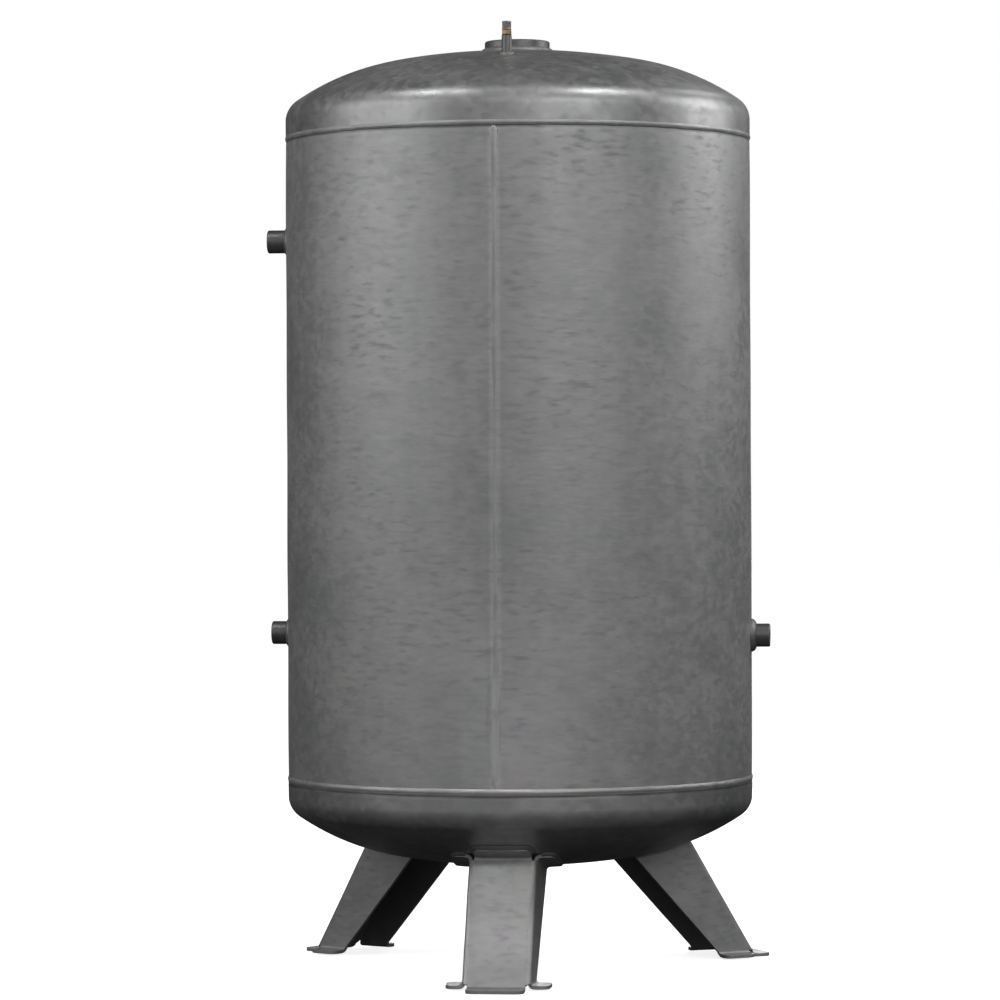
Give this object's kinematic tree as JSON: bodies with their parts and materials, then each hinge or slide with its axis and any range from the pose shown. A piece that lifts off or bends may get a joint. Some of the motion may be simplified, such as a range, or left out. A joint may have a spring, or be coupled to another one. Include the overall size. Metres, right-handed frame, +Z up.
{
  "type": "expansion vessel",
  "caption": "Upright galvanised expansion vessel: welded cylinder with dished ends on three pressed legs, side sockets, a top boss and an air charging valve.",
  "frame": {"origin": "on the vessel's axis, at the floor plane under the three feet", "axes": "+Z up along the vessel's axis, -Y towards the front, where the shell's long seam and the front leg are, +X towards the single lower socket"},
  "size_m": [0.868, 0.8566, 1.605],
  "materials": {
    "galvanised_shell": "hot-dip galvanised, dull grey with spangle and streaks",
    "galvanised_head": "hot-dip galvanised, slightly brighter than the shell",
    "galvanised_leg": "hot-dip galvanised pressed sheet",
    "galvanised_fitting": "galvanised turned steel, dull",
    "weld": "galvanised weld bead",
    "valve_brass": "machined brass, dulled",
    "valve_cap": "nickel-plated, knurled",
    "valve_pin": "nickel-plated pin",
    "spring_steel": "stainless wire",
    "seal_rubber": "matt black rubber"
  },
  "bodies": {
    "vessel": {"shell": "galvanised_shell", "long_seam_weld": "weld", "top_head": "galvanised_head", "bottom_head": "galvanised_head", "top_girth_weld": "weld", "bottom_girth_weld": "weld", "top_boss": "galvanised_fitting", "top_boss_weld": "weld", "drain_socket": "galvanised_fitting", "drain_socket_weld": "weld", "upper_left_socket": "galvanised_fitting", "upper_left_socket_weld": "weld", "lower_left_socket": "galvanised_fitting", "lower_left_socket_weld": "weld", "right_socket": "galvanised_fitting", "right_socket_weld": "weld", "front_leg": "galvanised_leg", "front_leg_weld": "weld", "right_leg": "galvanised_leg", "right_leg_weld": "weld", "left_leg": "galvanised_leg", "left_leg_weld": "weld", "valve_nipple": "galvanised_fitting", "valve_nipple_weld": "weld", "valve_washer": "seal_rubber", "valve_body": "valve_brass", "valve_core": "valve_brass", "valve_core_seal": "seal_rubber", "valve_spring": "spring_steel"},
    "cap": {"valve_cap": "valve_cap", "valve_cap_gasket": "seal_rubber"},
    "pin": {"valve_pin": "valve_pin", "valve_pin_seal": "seal_rubber"}
  },
  "joints": [
    {"name": "cap_off", "type": "slide", "parent": "vessel", "child": "cap", "axis": [0, 0, 1], "range_m": [0, 0.03]},
    {"name": "pin_press", "type": "slide", "parent": "vessel", "child": "pin", "axis": [0, 0, -1], "range_m": [0, 0.0015], "stiffness_N_per_m": 600, "springref_m": -0.003, "deforming": ["valve_spring"]}
  ]
}
